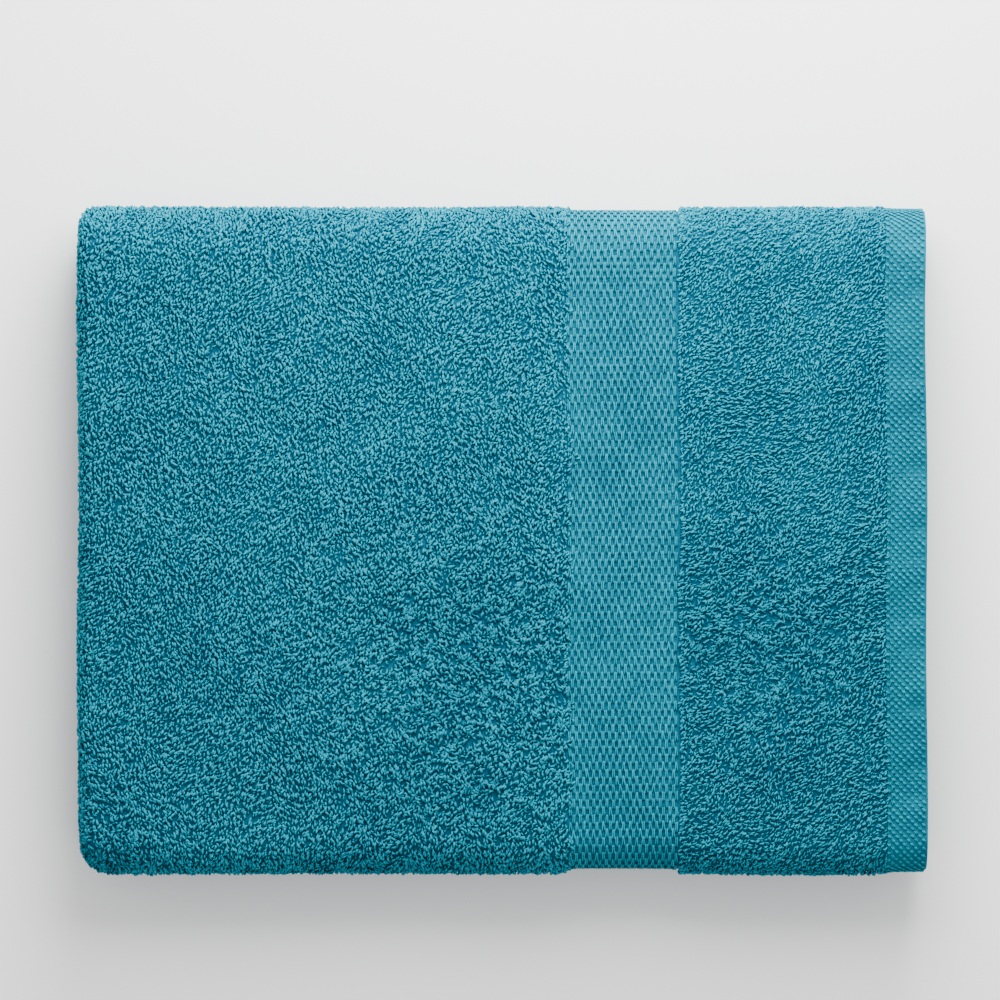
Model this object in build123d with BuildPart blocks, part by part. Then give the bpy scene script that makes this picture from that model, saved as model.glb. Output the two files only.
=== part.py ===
"""A terry bath towel, folded in quarters along its length and then in thirds across its width.

The cloth's own fold lines give four layers, stacked into one packet: layer 1 is on the outside and layer 4 on
the inside. Layers 1 and 2 carry the towel's two ends, A and B, with their dobby bands and hems. The packet is
folded in three like a letter, with both flaps under the face that shows.

+X runs along the folded towel towards its ends, +Y towards the back fold, +Z up. The origin is the middle of
the face that the towel lies on.
"""

import os
from math import pi

from build123d import *

# Driving dimensions, in millimetres
TOWEL_LENGTH = 1330.0  # hem to hem, laid flat
TOWEL_WIDTH = 760.0  # side to side, laid flat
LAYER_PITCH = 3.4  # one layer of cloth in the stack, with the air above it
LAYERS = 4
BODY_GAP = 0.3  # between the lower and the upper folds

TERRY_THICKNESS = 3.2
BAND_THICKNESS = 2.0
HEM_THICKNESS = 2.8
THREAD_THICKNESS = 0.2
THREAD_WIDTH = 0.5

END_HEM_WIDTH = 16.0
END_STRIP_WIDTH = 83.0
BAND_WIDTH = 43.5
SIDE_HEM_WIDTH = 8.0
END_SEAM_INSET = 2.0  # from the hem's inner edge to its stitching
SIDE_SEAM_INSET = 1.5

END_B_SETBACK = 4.0  # how far end B lies behind end A
HALF_FOLD_SETBACK = 3.0  # how far the fold at mid-length lies behind end A
LOWER_FLAP_TUCK = 6.0  # from the front of the stack to the lower flap's edge
INNER_FLAP_TUCK = 1.5  # from the back fold's centre to the inner flap's edge

# Folds across the length: the turns of the cloth at either side of the packet
SINGLE_TURN = LAYER_PITCH / 2  # centre-line radius where two neighbouring layers join
DOUBLE_TURN = 3 * LAYER_PITCH / 2  # centre-line radius where layers 1 and 4 join
SINGLE_REACH = SINGLE_TURN + TERRY_THICKNESS / 2
DOUBLE_REACH = DOUBLE_TURN + TERRY_THICKNESS / 2

# Folds across the width: the turns of the whole packet
PACKET = LAYERS * LAYER_PITCH
BACK_TURN = PACKET  # centre-line radius round the inner flap
FRONT_TURN = PACKET / 2  # centre-line radius where the face turns onto the inner flap
SKIN = (LAYER_PITCH - TERRY_THICKNESS) / 2  # air left outside the outermost layer
BACK_REACH = BACK_TURN + PACKET / 2 - SKIN
FRONT_REACH = FRONT_TURN + PACKET / 2 - SKIN

# The folded size that the cloth's own size gives
FOLDED_LENGTH = (
    TOWEL_LENGTH
    - pi * (DOUBLE_TURN + 2 * SINGLE_TURN)
    + 4 * DOUBLE_REACH
    + 2 * (SINGLE_REACH + HALF_FOLD_SETBACK)
    + END_B_SETBACK
) / 4
FOLDED_WIDTH = (
    TOWEL_WIDTH
    - pi * (BACK_TURN + FRONT_TURN)
    + 3 * BACK_REACH
    + 2 * FRONT_REACH
    + LOWER_FLAP_TUCK
    + INNER_FLAP_TUCK
) / 3

# Where the folds and the ends of the cloth lie
BACK_CENTRE = FOLDED_WIDTH / 2 - BACK_REACH
FRONT_CENTRE = -FOLDED_WIDTH / 2 + FRONT_REACH
LOWER_EDGE = -FOLDED_WIDTH / 2 + LOWER_FLAP_TUCK
INNER_EDGE = BACK_CENTRE - INNER_FLAP_TUCK
LOWER_CENTRE_Z = BACK_TURN + PACKET / 2 - SKIN
UPPER_CENTRE_Z = LOWER_CENTRE_Z + BODY_GAP
FRONT_CENTRE_Z = UPPER_CENTRE_Z + BACK_TURN - FRONT_TURN
LOWER_FLAP_Z = LOWER_CENTRE_Z - BACK_TURN
INNER_FLAP_Z = FRONT_CENTRE_Z - FRONT_TURN
TOP_Z = FRONT_CENTRE_Z + FRONT_TURN

LEFT_CENTRE = -FOLDED_LENGTH / 2 + DOUBLE_REACH
RIGHT_CENTRE = FOLDED_LENGTH / 2 - HALF_FOLD_SETBACK - SINGLE_REACH
END_A = FOLDED_LENGTH / 2
END_B = END_A - END_B_SETBACK

LAYER_1, LAYER_2, LAYER_3, LAYER_4 = (
    PACKET / 2 - (layer + 0.5) * LAYER_PITCH for layer in range(LAYERS)
)


# Sections of the packet, drawn in X and in the distance outwards from its middle


def cloth_line(end_a, end_b, outward=0.0):
    """The cloth from end_a on layer 1, round its three folds, to end_b on layer 2, shifted towards its face."""
    double = DOUBLE_TURN + outward
    half_fold = SINGLE_TURN + outward
    single = SINGLE_TURN - outward
    middle_of_3_and_4 = (LAYER_3 + LAYER_4) / 2
    with BuildLine() as line:
        Line((end_a, double), (LEFT_CENTRE, double))
        CenterArc((LEFT_CENTRE, 0), double, 90, 180)
        Line((LEFT_CENTRE, -double), (RIGHT_CENTRE, -double))
        CenterArc((RIGHT_CENTRE, middle_of_3_and_4), half_fold, -90, 180)
        Line((RIGHT_CENTRE, -single), (LEFT_CENTRE, -single))
        CenterArc((LEFT_CENTRE, 0), single, 90, 180)
        Line((LEFT_CENTRE, single), (end_b, single))
    return line.line


def end_piece(edge, height, start, width, thickness):
    """A straight stretch of one layer, from start to start + width inside the cloth's end."""
    with BuildLine() as line:
        Line((edge - start, height), (edge - start - width, height))
    trace(line.line, line_width=thickness)


def end_hem(edge, height):
    end_piece(edge, height, 0, END_HEM_WIDTH, HEM_THICKNESS)


def end_strip(edge, height):
    end_piece(edge, height, END_HEM_WIDTH, END_STRIP_WIDTH, TERRY_THICKNESS)


def dobby_band(edge, height):
    end_piece(edge, height, END_HEM_WIDTH + END_STRIP_WIDTH, BAND_WIDTH, BAND_THICKNESS)


def end_seam(edge, height):
    """The needle thread on one side of the hem and the bobbin thread on the other."""
    start = END_HEM_WIDTH - END_SEAM_INSET
    lift = (HEM_THICKNESS + THREAD_THICKNESS) / 2
    for side in (height - lift, height + lift):
        end_piece(edge, side, start, THREAD_WIDTH, THREAD_THICKNESS)


def terry_field():
    inside_band = END_HEM_WIDTH + END_STRIP_WIDTH + BAND_WIDTH
    trace(cloth_line(END_A - inside_band, END_B - inside_band), line_width=TERRY_THICKNESS)


def side_hem():
    trace(cloth_line(END_A, END_B), line_width=HEM_THICKNESS)


def side_seam():
    lift = (HEM_THICKNESS + THREAD_THICKNESS) / 2
    for outward in (-lift, lift):
        trace(cloth_line(END_A, END_B, outward), line_width=THREAD_THICKNESS)


# The paths that the middle of the packet follows, away from the cut in the back fold


def lower_path():
    """Down round the lower quarter of the back fold, then forwards under the stack."""
    with BuildLine(Plane.YZ) as path:
        CenterArc((BACK_CENTRE, LOWER_CENTRE_Z), BACK_TURN, 0, -90)
        Line((BACK_CENTRE, LOWER_FLAP_Z), (LOWER_EDGE + SIDE_HEM_WIDTH, LOWER_FLAP_Z))
    return path.line


def upper_path():
    """Up round the back fold, across the top, round the front fold and back inside as the inner flap."""
    with BuildLine(Plane.YZ) as path:
        CenterArc((BACK_CENTRE, UPPER_CENTRE_Z), BACK_TURN, 0, 90)
        Line((BACK_CENTRE, TOP_Z), (FRONT_CENTRE, TOP_Z))
        CenterArc((FRONT_CENTRE, FRONT_CENTRE_Z), FRONT_TURN, 90, 180)
        Line((FRONT_CENTRE, INNER_FLAP_Z), (INNER_EDGE - SIDE_HEM_WIDTH, INNER_FLAP_Z))
    return path.line


def packet_plane(y, z, along):
    """A plane across the packet, with the sections' X along the towel."""
    return Plane(origin=(0, y, z), x_dir=(1, 0, 0), z_dir=along)


def save(piece, name):
    piece.part.label = name
    export_step(piece.part, f"parts/{name}.step")


os.makedirs("parts", exist_ok=True)

# The zones that cross the back fold: one piece below the cut and one above it
zones = {"terry_field": (terry_field, ())}
for end, edge, height in (("a", END_A, LAYER_1), ("b", END_B, LAYER_2)):
    for zone in (dobby_band, end_strip, end_hem, end_seam):
        zones[f"{zone.__name__}_{end}"] = (zone, (edge, height))

folds = {
    "lower": (packet_plane(BACK_CENTRE + BACK_TURN, LOWER_CENTRE_Z, (0, 0, 1)), lower_path()),
    "upper": (packet_plane(BACK_CENTRE + BACK_TURN, UPPER_CENTRE_Z, (0, 0, 1)), upper_path()),
}
for side, (start, path) in folds.items():
    for zone, (draw, place) in zones.items():
        with BuildPart() as cloth:
            with BuildSketch(start):
                draw(*place)
            sweep(path=path)
        save(cloth, f"{side}_{zone}")

# The hemmed long edges and their stitching: each one lies wholly below or wholly above the cut
edges = {
    "lower_side_hem": (side_hem, LOWER_EDGE, LOWER_FLAP_Z, SIDE_HEM_WIDTH),
    "lower_side_seam": (side_seam, LOWER_EDGE + SIDE_HEM_WIDTH - SIDE_SEAM_INSET, LOWER_FLAP_Z, THREAD_WIDTH),
    "upper_side_hem": (side_hem, INNER_EDGE - SIDE_HEM_WIDTH, INNER_FLAP_Z, SIDE_HEM_WIDTH),
    "upper_side_seam": (side_seam, INNER_EDGE - SIDE_HEM_WIDTH + SIDE_SEAM_INSET, INNER_FLAP_Z, THREAD_WIDTH),
}
for name, (draw, y, z, width) in edges.items():
    with BuildPart() as edge_piece:
        with BuildSketch(packet_plane(y, z, (0, 1, 0))):
            draw()
        extrude(amount=width)
    save(edge_piece, name)
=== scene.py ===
"""A folded teal bath towel with terry pile, dobby bands and woven hems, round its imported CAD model.

Lengths are in metres. The cloth is one sheet, folded in quarters along its length and in thirds across its
width. A place on it is u, the distance along the towel from its visible end, and v, the distance across it.
"""

import math

import bpy
import numpy as np
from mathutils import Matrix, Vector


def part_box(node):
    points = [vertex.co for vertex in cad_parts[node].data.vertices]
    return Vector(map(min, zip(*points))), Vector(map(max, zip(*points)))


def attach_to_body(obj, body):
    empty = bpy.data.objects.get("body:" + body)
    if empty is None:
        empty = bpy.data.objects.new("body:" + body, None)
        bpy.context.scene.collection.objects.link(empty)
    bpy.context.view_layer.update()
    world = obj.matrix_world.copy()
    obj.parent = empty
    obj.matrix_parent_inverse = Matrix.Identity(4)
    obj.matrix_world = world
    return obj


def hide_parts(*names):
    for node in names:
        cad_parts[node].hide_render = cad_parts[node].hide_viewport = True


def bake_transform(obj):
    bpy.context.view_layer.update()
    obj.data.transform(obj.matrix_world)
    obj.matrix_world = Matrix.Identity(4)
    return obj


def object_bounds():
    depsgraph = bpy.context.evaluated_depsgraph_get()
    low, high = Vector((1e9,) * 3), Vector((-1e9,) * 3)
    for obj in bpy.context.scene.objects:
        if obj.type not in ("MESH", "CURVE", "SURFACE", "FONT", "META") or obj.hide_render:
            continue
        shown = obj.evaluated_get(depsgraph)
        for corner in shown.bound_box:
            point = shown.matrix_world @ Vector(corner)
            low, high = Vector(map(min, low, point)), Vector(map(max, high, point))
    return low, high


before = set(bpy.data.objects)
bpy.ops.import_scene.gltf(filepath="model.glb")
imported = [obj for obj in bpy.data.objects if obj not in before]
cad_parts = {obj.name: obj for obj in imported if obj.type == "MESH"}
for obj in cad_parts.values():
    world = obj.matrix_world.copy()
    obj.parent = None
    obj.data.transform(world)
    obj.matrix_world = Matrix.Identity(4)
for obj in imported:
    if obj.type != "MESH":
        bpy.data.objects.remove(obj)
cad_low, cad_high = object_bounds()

MM = 0.001

# ---------------------------------------------------------------- sizes, from the CAD boxes

_, top_field_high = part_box("upper_terry_field")
hem_low, hem_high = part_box("upper_end_hem_a")
_, under_hem_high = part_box("upper_end_hem_b")
strip_low, strip_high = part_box("upper_end_strip_a")
_, under_strip_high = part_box("upper_end_strip_b")
band_low, band_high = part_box("upper_dobby_band_a")
lower_edge_low, lower_edge_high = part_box("lower_side_hem")
inner_edge_low, inner_edge_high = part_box("upper_side_hem")
end_seam_low, end_seam_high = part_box("upper_end_seam_a")
side_seam_low, side_seam_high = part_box("lower_side_seam")

HEM_WIDTH = hem_high.x - hem_low.x
STRIP_WIDTH = strip_high.x - strip_low.x
BAND_WIDTH = band_high.x - band_low.x
SIDE_HEM_WIDTH = lower_edge_high.y - lower_edge_low.y
END_SEAM_AT = hem_high.x - (end_seam_low.x + end_seam_high.x) / 2
SIDE_SEAM_AT = (side_seam_low.y + side_seam_high.y) / 2 - lower_edge_low.y

LAYER_PITCH = strip_high.z - under_strip_high.z
LOWER_FLAP_Z = (lower_edge_low.z + lower_edge_high.z) / 2
INNER_FLAP_Z = (inner_edge_low.z + inner_edge_high.z) / 2
OUTER_LAYER = 1.5 * LAYER_PITCH  # from the middle of four layers to the middle of the outer one
TERRY_HALF = LOWER_FLAP_Z - OUTER_LAYER
HEM_HALF = (lower_edge_high.z - lower_edge_low.z) / 2 - OUTER_LAYER
BAND_HALF = 1.0 * MM
TOP_Z = top_field_high.z - OUTER_LAYER - TERRY_HALF
BACK_RADIUS = (TOP_Z - LOWER_FLAP_Z) / 2
FRONT_RADIUS = (TOP_Z - INNER_FLAP_Z) / 2
SKIN = OUTER_LAYER + TERRY_HALF  # from the middle of four layers to their outside
BACK_Y = cad_high.y - BACK_RADIUS - SKIN
FRONT_Y = cad_low.y + FRONT_RADIUS + SKIN
LEFT_X = cad_low.x + SKIN
RIGHT_X = top_field_high.x - LAYER_PITCH / 2 - TERRY_HALF

# ---------------------------------------------------------------- the folded cloth

# How far inside a free edge its rounding has stations, and inside any other edge, to shade it flat to the end.
EDGE_ROUNDING = (0.1 * MM, 0.3 * MM, 0.7 * MM, 1.4 * MM)
EDGE_SUPPORT = EDGE_ROUNDING[:1]
ARC_STEP = math.radians(12)
SHORTEST_SPAN = 0.01 * MM


class Path:
    """A line of straight runs and arcs in a plane, read by the distance along it."""

    def __init__(self, x, y, heading):
        self.pen = (x, y, math.radians(heading))
        self.marks = [0.0]
        self.runs = []

    def straight(self, length):
        """Goes straight on for that length."""
        self._add(length, 0.0)

    def turn(self, radius, degrees):
        """Turns left round an arc of that radius, or right where the angle is below 0."""
        angle = math.radians(degrees)
        length = abs(angle) * radius
        self._add(length, angle / length)

    def _add(self, length, bend):
        self.runs.append((self.marks[-1], *self.pen, bend))
        self.marks.append(self.marks[-1] + length)
        x, y, heading_x, heading_y = self.at(np.array([self.marks[-1]]))
        self.pen = (x[0], y[0], math.atan2(heading_y[0], heading_x[0]))

    def at(self, distance):
        """The place and the heading at each distance, as four arrays."""
        start, x, y, heading, bend = np.array(self.runs).T
        run = np.clip(np.searchsorted(start, distance, side="right") - 1, 0, None)
        gone = distance - start[run]
        chord = gone * np.sinc(bend[run] * gone / (2 * math.pi))
        middle = heading[run] + bend[run] * gone / 2
        ahead = heading[run] + bend[run] * gone
        place_x, place_y = x[run] + chord * np.cos(middle), y[run] + chord * np.sin(middle)
        return place_x, place_y, np.cos(ahead), np.sin(ahead)

    def spans(self, first, last):
        """The parts of first to last that lie in each run, with the run's number and its bend."""
        for number, (start, end) in enumerate(zip(self.marks, self.marks[1:])):
            low, high = max(first, start), min(last, end)
            if high - low > SHORTEST_SPAN:
                yield number, low, high, self.runs[number][4]

    def stations(self, first, last, spacing):
        """Distances from first to last, at most that spacing apart on straight runs and closer round arcs."""
        found = [first]
        for _, low, high, bend in self.spans(first, last):
            gap = spacing if bend == 0 else min(spacing, ARC_STEP / abs(bend))
            count = max(1, math.ceil((high - low) / gap))
            found += list(np.linspace(low, high, count + 1)[1:])
        found += [first + inset for inset in (EDGE_ROUNDING if first == 0 else EDGE_SUPPORT)]
        found += [last - inset for inset in (EDGE_ROUNDING if last == self.marks[-1] else EDGE_SUPPORT)]
        return np.unique(found)


# Along the towel: the outer layer from the visible end, the outer turn, the inside layer, the half fold, and
# back in the two layers between.
LENGTHWISE = Path(hem_high.x, OUTER_LAYER, 180)
LENGTHWISE.straight(hem_high.x - LEFT_X)
LENGTHWISE.turn(OUTER_LAYER, 180)
LENGTHWISE.straight(RIGHT_X - LEFT_X)
LENGTHWISE.turn(LAYER_PITCH / 2, 180)
LENGTHWISE.straight(RIGHT_X - LEFT_X)
LENGTHWISE.turn(LAYER_PITCH / 2, -180)
LENGTHWISE.straight(under_hem_high.x - LEFT_X)
LENGTH = LENGTHWISE.marks[-1]
OUTER, OUTER_TURN, INSIDE, HALF_FOLD = range(4)

# Across it: the lower flap, the back turn, the top, the front turn and the inner flap.
ACROSS = Path(lower_edge_low.y, LOWER_FLAP_Z, 0)
ACROSS.straight(BACK_Y - lower_edge_low.y)
ACROSS.turn(BACK_RADIUS, 180)
ACROSS.straight(BACK_Y - FRONT_Y)
ACROSS.turn(FRONT_RADIUS, 180)
ACROSS.straight(inner_edge_high.y - FRONT_Y)
WIDTH = ACROSS.marks[-1]
BACK_TURN, TOP, FRONT_TURN = range(1, 4)

# The lower pieces take in the whole back turn and a little of the top, so nothing parts when the fold opens.
SPLIT = ACROSS.marks[TOP] + 10 * MM
PARTS = {"lower": (SIDE_HEM_WIDTH, SPLIT), "upper": (SPLIT, WIDTH - SIDE_HEM_WIDTH)}
# When the fold is open, the inside layer shows as far as the inner flap's edge, and a little under it.
INSIDE_SHOWS = ACROSS.marks[TOP] + BACK_Y - inner_edge_high.y + 6 * MM


def waves(seed, wavelength, height=1.0, count=7):
    """A smooth uneven field over two coordinates, mostly between -height and height."""
    rng = np.random.default_rng(seed)
    angle = rng.uniform(0, math.pi, count)
    phase = rng.uniform(0, 2 * math.pi, count)
    number = 2 * math.pi / (wavelength * rng.uniform(0.7, 1.5, count))

    def field(a, b):
        total = sum(
            np.sin(k * (a * math.cos(t) + b * math.sin(t)) + p) for k, t, p in zip(number, angle, phase)
        )
        return height * total / math.sqrt(count)

    return field


CENTRE_LUMPS = waves(1, 85 * MM, 0.55 * MM)
SMALL_LUMPS = waves(2, 22 * MM, 0.22 * MM)
LONG_EDGE_WAVES = waves(3, 110 * MM, 0.5 * MM)
SHORT_EDGE_WAVES = waves(4, 90 * MM, 0.35 * MM)
HEM_RIPPLES = waves(5, 13 * MM, 0.75 * MM, count=4)
SOFT_CORNER = (cad_low.x, cad_low.y)
SOFT_CORNER_REACH = 9 * MM
SOFT_CORNER_PULL = 1.8 * MM
SOFT_CORNER_SAG = 1.5  # how far it sinks for each length that it is pulled in
PILE_BULGE = 1.5 * MM
PILE_BULGE_AT_BACK = 0.6  # as a share of the bulge in front
PILE_BULGE_REACH = 12 * MM
SOFT_STEP = 1.2 * MM


def soft_step(x, at):
    """0 below that place and 1 above it, with a soft change between."""
    return 1 / (1 + np.exp((at - x) / SOFT_STEP))


def settle(points):
    """Points with the unevenness of cloth folded by hand, which lifts them less towards the floor."""
    x, y, z = points.T
    height = z / cad_high.z
    from_corner = np.hypot(x - SOFT_CORNER[0], y - SOFT_CORNER[1])
    pull = SOFT_CORNER_PULL * np.exp(-((from_corner / SOFT_CORNER_REACH) ** 2))
    terry = 1 - soft_step(x, band_low.x) + soft_step(x, band_high.x) - soft_step(x, hem_low.x)
    to_back = np.exp((y - cad_high.y) / PILE_BULGE_REACH)
    to_front = np.exp((cad_low.y - y) / PILE_BULGE_REACH)
    bulge = PILE_BULGE * terry * (PILE_BULGE_AT_BACK * to_back - to_front)
    in_hem = np.clip((x - hem_low.x) / HEM_WIDTH, 0, 1)
    rise = CENTRE_LUMPS(x, y) + SMALL_LUMPS(x, y) + in_hem * HEM_RIPPLES(y, 0.3 * x)
    moved = np.stack(
        [
            x + SHORT_EDGE_WAVES(y, 3 * z) + pull,
            y + LONG_EDGE_WAVES(x, 3 * z) + pull + height * bulge,
            z + height * (rise - SOFT_CORNER_SAG * pull),
        ],
        axis=1,
    )
    moved[:, 2] = np.maximum(moved[:, 2], 0)
    return moved


def cloth_at(u, v, lift):
    """Points on the cloth, lift above its middle, and its directions along, across and out."""
    x, stack, ahead_x, ahead_stack = LENGTHWISE.at(u)
    y, z, ahead_y, ahead_z = ACROSS.at(v)
    nothing = np.zeros_like(x)
    outward = np.stack([nothing, ahead_z, -ahead_y], -1)
    right = np.array([1.0, 0.0, 0.0])
    along = ahead_x[..., None] * right + ahead_stack[..., None] * outward
    across = np.stack([nothing, ahead_y, ahead_z], -1)
    out = ahead_stack[..., None] * right - ahead_x[..., None] * outward
    place = np.stack([x, y, z], -1) + stack[..., None] * outward + np.asarray(lift)[..., None] * out
    return place, along, across, out


# ---------------------------------------------------------------- materials


def node(tree, kind, links=(), **values):
    """Adds a shader node, sets its inputs by name, and links (input name, output socket) pairs."""
    made = tree.nodes.new(kind)
    for name, value in values.items():
        made.inputs[name.replace("_", " ")].default_value = value
    for name, socket in links:
        tree.links.new(socket, made.inputs[name])
    return made


def scaled_sum(tree, socket, factor, onto):
    """Adds a node for factor times the socket, plus a number or another socket."""
    made = tree.nodes.new("ShaderNodeMath")
    made.operation = "MULTIPLY_ADD"
    tree.links.new(socket, made.inputs[0])
    made.inputs[1].default_value = factor
    if isinstance(onto, float):
        made.inputs[2].default_value = onto
    else:
        tree.links.new(onto, made.inputs[2])
    return made.outputs[0]


SHADER_VALUES = {
    "Roughness": 0.95,
    "Specular IOR Level": 0.06,
    "Sheen Weight": 0.03,
    "Sheen Roughness": 0.5,
    "Sheen Tint": (0.3, 0.85, 0.95, 1),
}
# Painted shade: the share of the way from deep to light that a yarn's colour goes from its shaded foot to its
# lit top.
PAINTED_SHADE_SHARE = 0.6  # how much of the way from deep to light a yarn goes from its foot to its tip
DYE_SHARE = 0.35
DARKEST_SHADE = 0.05
DYE_SCALE = 28.0


def dyed_cotton(name, deep, light, fleck, fleck_size, fibre_size, fibre_depth):
    """Cotton yarn: deep where its attribute of painted shade and tone is 0 and light where it is 1, with
    uneven dye, flecks and fine fibres.
    """
    material = bpy.data.materials.new(name)
    material.use_nodes = True
    tree = material.node_tree
    shader = tree.nodes["Principled BSDF"]
    for socket_name, value in SHADER_VALUES.items():
        shader.inputs[socket_name].default_value = value
    place = tree.nodes.new("ShaderNodeTexCoord").outputs["Object"]
    tone_and_painted_shade = tree.nodes.new("ShaderNodeAttribute")
    tone_and_painted_shade.attribute_name = "tone_and_painted_shade"
    dye = node(tree, "ShaderNodeTexNoise", [("Vector", place)], Scale=DYE_SCALE, Detail=2.0)
    flecks = node(tree, "ShaderNodeTexNoise", [("Vector", place)], Scale=1 / fleck_size, Detail=3.0)
    fibres = node(tree, "ShaderNodeTexNoise", [("Vector", place)], Scale=1 / fibre_size, Detail=3.0)
    # Painted shade: the colour darkens at each yarn's foot and on the ground cloth between the yarns, and
    # lightens at each yarn's top.
    shade = scaled_sum(tree, tone_and_painted_shade.outputs["Fac"], PAINTED_SHADE_SHARE, DARKEST_SHADE - fleck / 2)
    shade = scaled_sum(tree, dye.outputs["Fac"], DYE_SHARE, shade)
    shade = scaled_sum(tree, flecks.outputs["Fac"], fleck, shade)
    mix = node(tree, "ShaderNodeMix", [("Factor", shade)])
    mix.data_type = "RGBA"
    mix.inputs["A"].default_value = (*deep, 1)
    mix.inputs["B"].default_value = (*light, 1)
    colour = [socket for socket in mix.outputs if socket.type == "RGBA"][0]
    tree.links.new(colour, shader.inputs["Base Color"])
    height = [("Height", fibres.outputs["Fac"])]
    bump = node(tree, "ShaderNodeBump", height, Strength=0.5, Distance=fibre_depth)
    tree.links.new(bump.outputs["Normal"], shader.inputs["Normal"])
    return material


MATERIALS = {
    "terry": dyed_cotton(
        "terry_yarn",
        deep=(0.0, 0.03, 0.07),
        light=(0.001, 0.25, 0.34),
        fleck=0.42,
        fleck_size=1.0 * MM,
        fibre_size=0.3 * MM,
        fibre_depth=0.1 * MM,
    ),
    "dobby_weave": dyed_cotton(
        "dobby_yarn",
        deep=(0.0, 0.025, 0.058),
        light=(0.001, 0.27, 0.36),
        fleck=0.8,
        fleck_size=0.6 * MM,
        fibre_size=0.25 * MM,
        fibre_depth=0.1 * MM,
    ),
    "hem_weave": dyed_cotton(
        "hem_yarn",
        deep=(0.0, 0.025, 0.058),
        light=(0.001, 0.28, 0.37),
        fleck=0.8,
        fleck_size=0.6 * MM,
        fibre_size=0.25 * MM,
        fibre_depth=0.1 * MM,
    ),
    "thread": dyed_cotton(
        "sewing_thread",
        deep=(0.0, 0.042, 0.07),
        light=(0.001, 0.21, 0.28),
        fleck=0.2,
        fleck_size=0.8 * MM,
        fibre_size=0.15 * MM,
        fibre_depth=0.03 * MM,
    ),
}

# ---------------------------------------------------------------- meshes


def new_piece(name, points, faces, slot, tones_and_painted_shades):
    """A smooth mesh in that slot's material. Faces are rows of four corners, ending in -1 for a triangle."""
    corners = faces[faces >= 0]
    sizes = (faces >= 0).sum(axis=1)
    mesh = bpy.data.meshes.new(name)
    mesh.vertices.add(len(points))
    mesh.vertices.foreach_set("co", settle(points).astype(np.float32).ravel())
    mesh.loops.add(len(corners))
    mesh.loops.foreach_set("vertex_index", corners.astype(np.int32))
    mesh.polygons.add(len(sizes))
    mesh.polygons.foreach_set("loop_start", (np.cumsum(sizes) - sizes).astype(np.int32))
    mesh.polygons.foreach_set("use_smooth", np.ones(len(sizes), bool))
    mesh.update(calc_edges=True)
    # A vertex attribute that holds painted shade (dark yarn feet, light yarn tops, dark ground cloth) together
    # with each yarn's own tone.
    attribute = mesh.attributes.new("tone_and_painted_shade", "FLOAT", "POINT")
    attribute.data.foreach_set("value", tones_and_painted_shades)
    mesh.materials.append(MATERIALS[slot])
    piece = bpy.data.objects.new(name, mesh)
    bpy.context.scene.collection.objects.link(piece)
    return piece


THINNEST_EDGE = 0.1  # how far the rounding of a free edge is cut short, as a share of its radius


def slab(name, u, v, front, back, slot, tone_and_painted_shade):
    """A closed piece of cloth over the stations u and v, from back below its middle to front above it."""
    grid_u, grid_v = np.meshgrid(u, v, indexing="ij")
    from_edge = np.minimum(np.minimum(grid_u, LENGTH - grid_u), np.minimum(grid_v, WIDTH - grid_v))
    full = np.clip(from_edge / back, THINNEST_EDGE, 1)
    rounding = np.sqrt(1 - (1 - full) ** 2)
    sides = [cloth_at(grid_u, grid_v, lift * rounding)[0] for lift in (front, -back)]
    count = grid_u.size
    points = np.concatenate([side.reshape(-1, 3) for side in sides])
    index = np.arange(count).reshape(grid_u.shape)
    quad = np.stack([index[:-1, :-1], index[1:, :-1], index[1:, 1:], index[:-1, 1:]], -1).reshape(-1, 4)
    rim = np.concatenate([index[:, 0], index[-1, 1:], index[-2::-1, -1], index[0, -2:0:-1]])
    after = np.roll(rim, -1)
    wall = np.stack([rim, rim + count, after + count, after], -1)
    faces = np.concatenate([quad, quad[:, ::-1] + count, wall])
    return new_piece(name, points, faces, slot, np.full(len(points), tone_and_painted_shade, np.float32))


class Arch:
    """A yarn that rises, arches over and goes back in, as points (along, aside, up) and faces."""

    def __init__(self, span, rise, width, thickness, sides=4, rings=3, blunt=1.0, bow=0.0):
        turn = np.linspace(0, math.pi, rings + 2)
        arc = np.sin(turn)
        line = np.stack([-np.cos(turn) * span / 2, bow * arc, arc**blunt * rise], -1)
        ahead = np.gradient(line, axis=0)
        ahead /= np.linalg.norm(ahead, axis=1)[:, None]
        aside = np.array([0.0, 1.0, 0.0])
        above = np.cross(ahead, aside)
        around = 2 * math.pi * np.arange(sides) / sides
        ring = (
            line[1:-1, None]
            + width / 2 * np.cos(around)[None, :, None] * aside
            + thickness / 2 * np.sin(around)[None, :, None] * above[1:-1, None]
        )
        self.points = np.concatenate([line[:1], ring.reshape(-1, 3), line[-1:]])
        # Painted shade and painted highlight: each yarn is coloured dark at its foot and light at its top, by
        # height alone, for the shade among the yarns and the light on their crests.
        self.tones_and_painted_shades = np.clip(self.points[:, 2] / (rise + thickness / 2), 0, 1) ** 2
        first = 1 + np.arange(sides)
        following = 1 + (np.arange(sides) + 1) % sides
        none = np.full(sides, -1)
        faces = [np.stack([np.zeros(sides, int), following, first, none], -1)]
        for ring_number in range(rings - 1):
            a, b = first + ring_number * sides, following + ring_number * sides
            faces.append(np.stack([a, b, b + sides, a + sides], -1))
        last = (rings - 1) * sides
        faces.append(np.stack([np.full(sides, 1 + rings * sides), first + last, following + last, none], -1))
        self.faces = np.concatenate(faces)
        self.triangles = 2 * sides + 2 * sides * (rings - 1)


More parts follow.
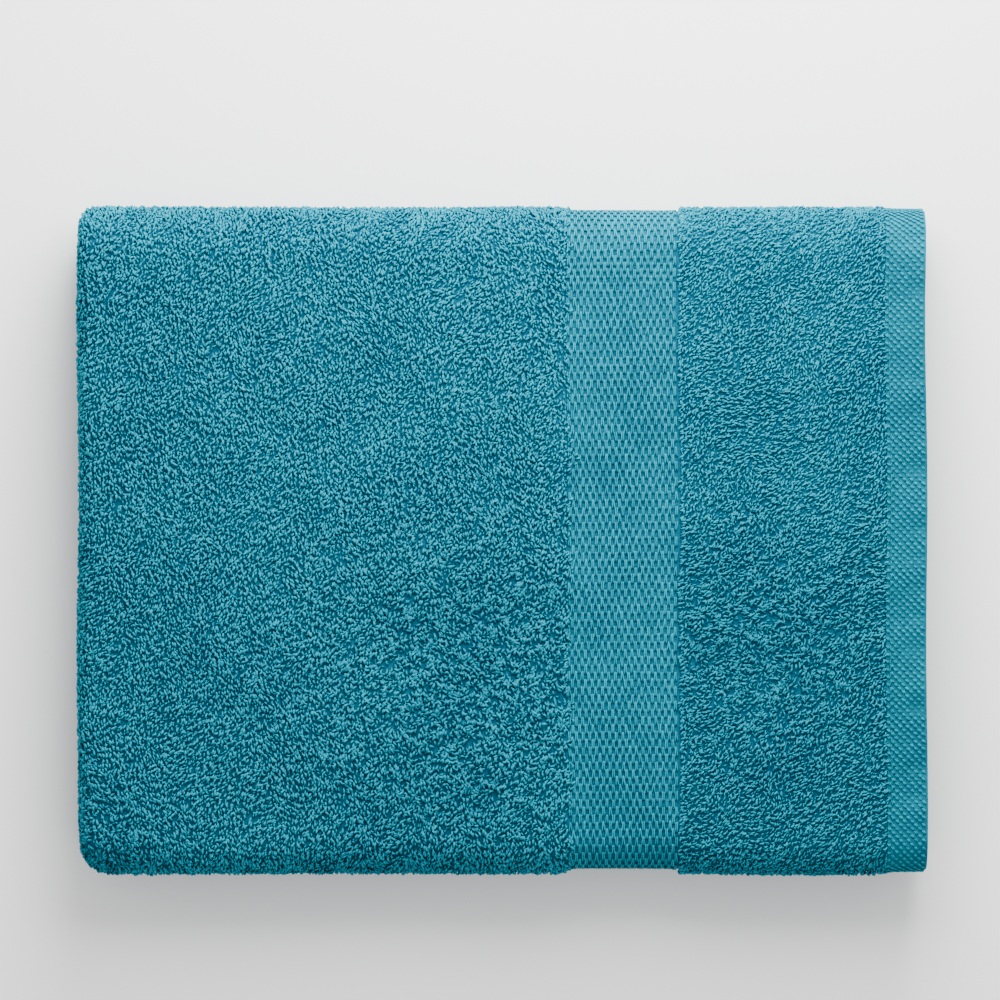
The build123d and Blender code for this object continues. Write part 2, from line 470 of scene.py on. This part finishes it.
def rows(rng, u_range, v_range, pitch_u, pitch_v, jitter):
    """Places in staggered columns, each moved by up to jitter of its pitch, along u and v."""
    columns = max(1, round((u_range[1] - u_range[0]) / pitch_u))
    count = max(1, round((v_range[1] - v_range[0]) / pitch_v))
    i, j = np.meshgrid(np.arange(columns), np.arange(count), indexing="ij")
    u = (i + 0.5 + jitter[0] * rng.uniform(-1, 1, i.shape)) / columns
    v = (j + 0.25 + 0.5 * (i % 2) + jitter[1] * rng.uniform(-1, 1, i.shape)) / count
    return (
        u_range[0] + u.ravel() * (u_range[1] - u_range[0]),
        v_range[0] + v.ravel() * (v_range[1] - v_range[0]),
    )


MOST_TRIANGLES = 190000
STRAND_SHADES = (-0.22, 0.22)  # how much darker or lighter one yarn is than the next


def tufts(name, arch, u, v, lift, yaw, lean_u, lean_v, scale, slot, shade=0.0):
    """One arch at each place (u, v), turned by yaw and leaning, in pieces of at most MOST_TRIANGLES."""
    order = np.argsort(v, kind="stable")
    shades = shade + np.random.default_rng(len(u)).uniform(*STRAND_SHADES, len(u))
    pieces = []
    chunks = math.ceil(len(u) * arch.triangles / MOST_TRIANGLES)
    for number, chosen in enumerate(np.array_split(order, chunks), 1):
        place, along, across, out = cloth_at(u[chosen], v[chosen], np.full(len(chosen), lift))
        cosine, sine = np.cos(yaw[chosen])[:, None], np.sin(yaw[chosen])[:, None]
        forward = cosine * along + sine * across
        aside = cosine * across - sine * along
        up = out + lean_u[chosen][:, None] * along + lean_v[chosen][:, None] * across
        up /= np.linalg.norm(up, axis=1)[:, None]
        size = scale[chosen][:, None, None]
        axes = np.stack([forward, aside, up], 1)
        points = place[:, None] + size * np.einsum("pk,nkc->npc", arch.points, axes)
        offsets = len(arch.points) * np.arange(len(chosen))[:, None, None]
        faces = np.where(arch.faces < 0, -1, arch.faces + offsets).reshape(-1, 4)
        # Painted shade by height on each yarn, plus that yarn's own tone.
        tones_and_painted_shades = (arch.tones_and_painted_shades + shades[chosen][:, None]).ravel().astype(np.float32)
        pieces.append(new_piece(f"{name}_{number}", points.reshape(-1, 3), faces, slot, tones_and_painted_shades))
    return pieces


# ---------------------------------------------------------------- terry pile

LOOP_BASE = 0.2 * MM
FINE_LOOP = Arch(1.5 * MM, 1.5 * MM, 0.72 * MM, 0.75 * MM, rings=4, bow=0.3 * MM)
COARSE_LOOP = Arch(2.0 * MM, 1.3 * MM, 1.15 * MM, 1.0 * MM, rings=2)
STRIP_LOOP = Arch(1.5 * MM, 1.4 * MM, 0.62 * MM, 0.7 * MM, rings=4, bow=0.3 * MM)
LOOP_PITCH = (1.0 * MM, 1.45 * MM)
LOOP_JITTER = (0.2, 0.42)
LOOP_SIZES = (0.65, 1.25)
COARSE_PITCH = (1.6 * MM, 2.1 * MM)
OPENED_TURN = 1.6  # how much closer the loops inside the back turn stand, which stretches as the fold opens

FIELD_YAW = math.radians(82)
STRIP_YAW = math.radians(48)
UNDER_YAW = 0.0  # along the towel, so that the opening fold widens these loops and doesn't draw them out
YAW_PATCHES = waves(11, 16 * MM, 0.3)
YAW_DRIFT = waves(12, 60 * MM, 0.25)
YAW_SPREAD = 0.42
LEAN_PATCHES = (waves(13, 14 * MM, 0.35), waves(14, 18 * MM, 0.35))
LEAN_SPREAD = 0.3
COLUMN_GAPS = waves(18, 5 * MM, 0.2 * MM)

GROOVE = 1.6 * MM  # between the strip's last loops and the band
BAND_EDGE_REACH = 2.5 * MM  # how far into the field the pile is disturbed beside the band
BAND_EDGE_WAVES = waves(17, 9 * MM, 1.2 * MM)
BAND_EDGE_OVERLAP = 0.5 * MM
BAND_EDGE_LEAN = 0.7

# Where handling has matted the pile, as (u, v, reach): beside the band towards the front, at the soft corner,
# and in the strip beside the band.
MATTED = (
    (hem_high.x + 15 * MM, ACROSS.marks[TOP] + BACK_Y + 62 * MM, 62 * MM),
    (LENGTHWISE.marks[OUTER_TURN], ACROSS.marks[FRONT_TURN], 28 * MM),
    (STRIP_WIDTH * 0.8, ACROSS.marks[TOP] + BACK_Y + 40 * MM, 45 * MM),
)
CLUMPS = (waves(15, 7.5 * MM), waves(16, 8 * MM))
CLUMP_PULL = 0.08 * MM
MATTED_CLUMP_PULL = 0.42 * MM
MATTED_LEAN = 0.6
MATTED_YAW_SPREAD = 0.6
MATTED_GROWTH = 0.15
PILE_SHADE = 0.12
# Painted shade: pile in the matted places is coloured darker, for the shade in the deeper gaps between its
# clumps.
MATTED_PAINTED_SHADE = -0.2


def matting(u, v):
    """From 0 where the pile stands evenly to 1 where it is pressed into clumps."""
    pressed = sum(
        np.exp(-((u - at_u) ** 2 + (v - at_v) ** 2) / reach**2) for at_u, at_v, reach in MATTED
    )
    return np.clip(pressed, 0, 1)


def stretch(u, v, lift):
    """How much longer than its middle the cloth's surface is at (u, v): along it and across it."""
    ahead = 0.01 * MM
    us, vs = np.array([u, u + ahead, u]), np.array([v, v, v + ahead])
    origin, beside, beyond = cloth_at(us, vs, np.full(3, lift))[0]
    return np.linalg.norm(beside - origin) / ahead, np.linalg.norm(beyond - origin) / ahead


def loop_roots(rng, u_range, v_range, pitch):
    """Where the loops stand on one patch of cloth, closer together where it is stretched round a fold."""
    wide, deep = stretch(sum(u_range) / 2, sum(v_range) / 2, TERRY_HALF)
    if deep < 0.9:  # only on the inside of the back turn
        deep = OPENED_TURN
    return rows(rng, u_range, v_range, pitch[0] / wide, pitch[1] / deep, LOOP_JITTER)


def pile_patches(first, last, part):
    """The parts of a terry zone that ever show: (u range, v range, whether they show at rest)."""
    for layer, u_low, u_high, _ in LENGTHWISE.spans(first, last):
        for run, v_low, v_high, _ in ACROSS.spans(*PARTS[part]):
            if layer == INSIDE:
                v_high = min(v_high, INSIDE_SHOWS)
            if layer in (OUTER, OUTER_TURN, HALF_FOLD) or (layer == INSIDE and v_low < v_high):
                shows = layer in (OUTER_TURN, HALF_FOLD) or (
                    layer == OUTER and run in (BACK_TURN, TOP, FRONT_TURN)
                )
                yield (u_low, u_high), (v_low, v_high), shows


def disturb_at_band(u, v, lean_u, first):
    """The field's loops with an uneven edge beside the band, where they lean over it."""
    near = np.exp(-(u - first) / BAND_EDGE_REACH)
    moved = u + near * (BAND_EDGE_WAVES(v, 0.0 * v) - BAND_EDGE_OVERLAP)
    return moved, lean_u - BAND_EDGE_LEAN * near


def pile(name, first, last, part, seed):
    """The loops of one terry zone: fine where they show at rest, and coarser inside and underneath."""
    rng = np.random.default_rng(seed)
    in_strip = "strip" in name
    loop, yaw_shown = (STRIP_LOOP, STRIP_YAW) if in_strip else (FINE_LOOP, FIELD_YAW)
    pieces = []
    for shown, kind, pitch, shape, main_yaw in (
        (True, "pile", LOOP_PITCH, loop, yaw_shown),
        (False, "under_pile", COARSE_PITCH, COARSE_LOOP, UNDER_YAW),
    ):
        roots = [
            loop_roots(rng, u_range, v_range, pitch)
            for u_range, v_range, shows in pile_patches(first, last, part)
            if shows == shown
        ]
        if not roots:
            continue
        u, v = (np.concatenate(values) for values in zip(*roots))
        count = len(u)
        matted = matting(u, v)
        clumps = [field(u, v) for field in CLUMPS]
        lean_u, lean_v = (
            patches(u, v) + MATTED_LEAN * matted * clump + rng.normal(0, LEAN_SPREAD, count)
            for patches, clump in zip(LEAN_PATCHES, clumps)
        )
        pull = CLUMP_PULL + MATTED_CLUMP_PULL * matted
        u = u + COLUMN_GAPS(u, 0.3 * v) + pull * clumps[0]
        v = v + pull * clumps[1]
        if in_strip:
            u = np.minimum(u, last - GROOVE)
        else:
            u, lean_u = disturb_at_band(u, v, lean_u, first)
        yaw = main_yaw + YAW_PATCHES(u, v) + YAW_DRIFT(u, v) + rng.normal(0, YAW_SPREAD, count)
        yaw = yaw + matted * rng.normal(0, MATTED_YAW_SPREAD, count)
        yaw = yaw + math.pi * rng.integers(0, 2, count)
        scale = rng.uniform(*LOOP_SIZES, count) * (1 + MATTED_GROWTH * matted)
        # Painted shade darkens the matted pile.
        shade = PILE_SHADE + MATTED_PAINTED_SHADE * matted
        pieces += tufts(
            f"{name}_{kind}", shape, u, v, LOOP_BASE, yaw, lean_u, lean_v, scale, "terry", shade
        )
    return pieces


# ---------------------------------------------------------------- woven bands, hems and stitches

FLOAT = Arch(4.2 * MM, 0.55 * MM, 0.66 * MM, 0.65 * MM, rings=5, blunt=0.5)
FLOAT_PITCH = (1.316 * MM, 5.9 * MM)
FLOAT_BASE = BAND_HALF - 0.9 * MM
FLOAT_STRANDS = ((-0.33 * MM, 0.03), (0.33 * MM, -0.03))  # (offset along u, yaw) of the two yarns in a pair
BUMP = Arch(1.9 * MM, 0.5 * MM, 0.56 * MM, 0.6 * MM, blunt=0.6)
BUMP_STRANDS = (-0.3 * MM, 0.3 * MM)
BUMP_FROM_EDGE = 0.9 * MM
BUMP_YAW = math.radians(-52)
BUMP_PITCH = (1.5 * MM, 3.0 * MM)
BUMP_BASE = HEM_HALF - 0.6 * MM
WOVEN_JITTER = (0.06, 0.05)
WOVEN_YAW_SPREAD = 0.06
WOVEN_SIZES = (0.93, 1.07)
STITCH = Arch(2.2 * MM, 0.12 * MM, 0.4 * MM, 0.3 * MM, sides=5, blunt=0.6)
STITCH_PITCH = 2.8 * MM
STITCH_BASE = HEM_HALF - 0.02 * MM
STRAIGHT_ACROSS = math.radians(90)


def woven(name, arch, u_range, v_range, pitch, base, strands, slot, seed):
    """Raised yarns in a staggered pattern on one woven zone, in groups of strands: (offset along u, yaw)."""
    rng = np.random.default_rng(seed)
    found = []
    for _, low, high, _ in ACROSS.spans(*v_range):
        deep = stretch(sum(u_range) / 2, (low + high) / 2, base)[1]
        found.append(rows(rng, u_range, (low, high), pitch[0], pitch[1] / deep, WOVEN_JITTER))
    middle_u, middle_v = (np.concatenate(values) for values in zip(*found))
    u = np.concatenate([middle_u + offset for offset, _ in strands])
    v = np.tile(middle_v, len(strands))
    yaw = np.concatenate([rng.normal(turned, WOVEN_YAW_SPREAD, len(middle_u)) for _, turned in strands])
    level = np.zeros(len(u))
    scale = rng.uniform(*WOVEN_SIZES, len(u))
    return tufts(name, arch, u, v, base, yaw, level, level, scale, slot)


def stitches(name, u, v, yaw):
    """Lockstitches along one seam, on the outer face of the cloth."""
    count = len(u)
    level, size = np.zeros(count), np.ones(count)
    return tufts(name, STITCH, u, v, STITCH_BASE, np.full(count, yaw), level, level, size, "thread")


# ---------------------------------------------------------------- the towel

ZONES = [
    ("end_hem_a", HEM_WIDTH, "hem_weave"),
    ("end_strip_a", STRIP_WIDTH, "terry"),
    ("dobby_band_a", BAND_WIDTH, "dobby_weave"),
    ("terry_field", LENGTH - 2 * (HEM_WIDTH + STRIP_WIDTH + BAND_WIDTH), "terry"),
    ("dobby_band_b", BAND_WIDTH, "dobby_weave"),
    ("end_strip_b", STRIP_WIDTH, "terry"),
    ("end_hem_b", HEM_WIDTH, "hem_weave"),
]
# How far the cloth goes above and below its middle, and its shade, a painted shade that darkens the ground
# cloth seen between the loops, floats and bumps. What stands on it makes up the rest.
FACES = {
    "terry": (LOOP_BASE, TERRY_HALF, -0.05),
    "dobby_weave": (FLOAT_BASE, BAND_HALF, 0.0),
    "hem_weave": (BUMP_BASE, HEM_HALF, 0.15),
}
CLOTH_STEP = 6 * MM
SIDE_HEM_STEP = 2 * MM
SIDE_HEM_SHADE = 0.6


def attach(piece, part, crosses):
    """Parents a piece to its part of the towel; a piece that crosses the back fold has its placing baked into
    its mesh instead.
    """
    if crosses:
        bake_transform(piece)
    else:
        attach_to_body(piece, f"{part}_folds")


def details(node_name, first, last, part, slot):
    """The loops, floats or bumps that stand on one zone. The band and hem of the hidden end have none."""
    name = f"{part}_{node_name}"
    seed = sum(map(ord, name))
    v_range = PARTS[part]
    if slot == "terry":
        return pile(name, first, last, part, seed)
    if node_name == "dobby_band_a":
        u_range = (first, last)
        strands = [(offset, STRAIGHT_ACROSS + yaw) for offset, yaw in FLOAT_STRANDS]
        return woven(
            f"{name}_floats", FLOAT, u_range, v_range, FLOAT_PITCH, FLOAT_BASE, strands, slot, seed
        )
    if node_name == "end_hem_a":
        u_range = (first + BUMP_FROM_EDGE, last)
        strands = [(offset, BUMP_YAW) for offset in BUMP_STRANDS]
        return woven(f"{name}_bumps", BUMP, u_range, v_range, BUMP_PITCH, BUMP_BASE, strands, slot, seed)
    return []


SIDES = {
    "lower": ((0.0, SIDE_HEM_WIDTH), SIDE_SEAM_AT),
    "upper": ((WIDTH - SIDE_HEM_WIDTH, WIDTH), WIDTH - SIDE_SEAM_AT),
}


def side_hem(part):
    """The narrow hem along one side of the cloth and its seam."""
    v_range, seam_at = SIDES[part]
    u = LENGTHWISE.stations(0.0, LENGTH, CLOTH_STEP)
    v = ACROSS.stations(*v_range, SIDE_HEM_STEP)
    hem = slab(f"{part}_side_hem_cloth", u, v, HEM_HALF, HEM_HALF, "hem_weave", SIDE_HEM_SHADE)
    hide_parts(f"{part}_side_hem")
    seam_u = np.arange(STITCH_PITCH, LENGTH - STITCH_PITCH, STITCH_PITCH)
    seam = stitches(f"{part}_side_seam_stitches", seam_u, np.full(len(seam_u), seam_at), 0.0)
    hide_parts(f"{part}_side_seam")
    for piece in [hem, *seam]:
        attach(piece, part, False)
    return [hem, *seam]


def end_seam(part, end):
    """The stitches along one end hem."""
    seam_at = END_SEAM_AT if end == "a" else LENGTH - END_SEAM_AT
    v = np.arange(PARTS[part][0] + STITCH_PITCH / 2, PARTS[part][1], STITCH_PITCH)
    seam = stitches(f"{part}_end_seam_{end}_stitches", np.full(len(v), seam_at), v, STRAIGHT_ACROSS)
    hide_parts(f"{part}_end_seam_{end}")
    return seam


def zone(part, node_name, first, last, slot):
    """One zone of the cloth with everything on it."""
    v_low, v_high = PARTS[part]
    front, back, tone_and_painted_shade = FACES[slot]
    u = LENGTHWISE.stations(first, last, CLOTH_STEP)
    v = ACROSS.stations(v_low, v_high, CLOTH_STEP)
    cloth = slab(f"{part}_{node_name}_cloth", u, v, front, back, slot, tone_and_painted_shade)
    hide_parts(f"{part}_{node_name}")
    on_it = details(node_name, first, last, part, slot)
    if slot == "hem_weave":
        on_it += end_seam(part, node_name[-1])
    for piece in [cloth, *on_it]:
        attach(piece, part, part == "lower")
    if node_name == "terry_field":
        on_it += side_hem(part)


for part in PARTS:
    reached = 0.0
    for node_name, zone_width, slot in ZONES:
        zone(part, node_name, reached, reached + zone_width, slot)
        reached += zone_width

# ---------------------------------------------------------------- floor, light and camera


def plain_floor():
    """A pale matt table top under the towel."""
    bpy.ops.mesh.primitive_plane_add(size=6, location=(0, 0, 0))
    floor = bpy.context.object
    floor.name = "floor"
    material = bpy.data.materials.new("pale_floor")
    material.use_nodes = True
    shader = material.node_tree.nodes["Principled BSDF"]
    shader.inputs["Roughness"].default_value = 0.9
    shader.inputs["Specular IOR Level"].default_value = 0.1
    shader.inputs["Base Color"].default_value = (0.9, 0.9, 0.9, 1)
    floor.data.materials.append(material)


def soft_light(name, size, power, location):
    """A square area light that faces the origin."""
    data = bpy.data.lights.new(name, "AREA")
    data.shape = "SQUARE"
    data.size = size
    data.energy = power
    light = bpy.data.objects.new(name, data)
    bpy.context.scene.collection.objects.link(light)
    light.location = location
    light.rotation_euler = light.location.to_track_quat("Z", "Y").to_euler()
    light.visible_camera = False


def camera_above(view_width, distance, centre):
    """A long lens straight above. The picture is view_width across at the height of the towel's top."""
    data = bpy.data.cameras.new("camera")
    data.lens = data.sensor_width * distance / view_width
    camera = bpy.data.objects.new("camera", data)
    bpy.context.scene.collection.objects.link(camera)
    camera.location = (*centre, cad_high.z + distance)
    bpy.context.scene.camera = camera


def world_light(strength):
    """Even white light from all round."""
    world = bpy.data.worlds.new("studio")
    world.use_nodes = True
    world.node_tree.nodes["Background"].inputs["Color"].default_value = (1, 1, 1, 1)
    world.node_tree.nodes["Background"].inputs["Strength"].default_value = strength
    bpy.context.scene.world = world


plain_floor()
world_light(strength=1.1)
soft_light("key_light", size=0.45, power=7.2, location=(0.08, 0.36, 0.42))
soft_light("back_light", size=0.5, power=20.0, location=(0.1, 0.8, 0.25))
camera_above(view_width=396.4 * MM, distance=4.0, centre=(-0.8 * MM, 15.7 * MM))
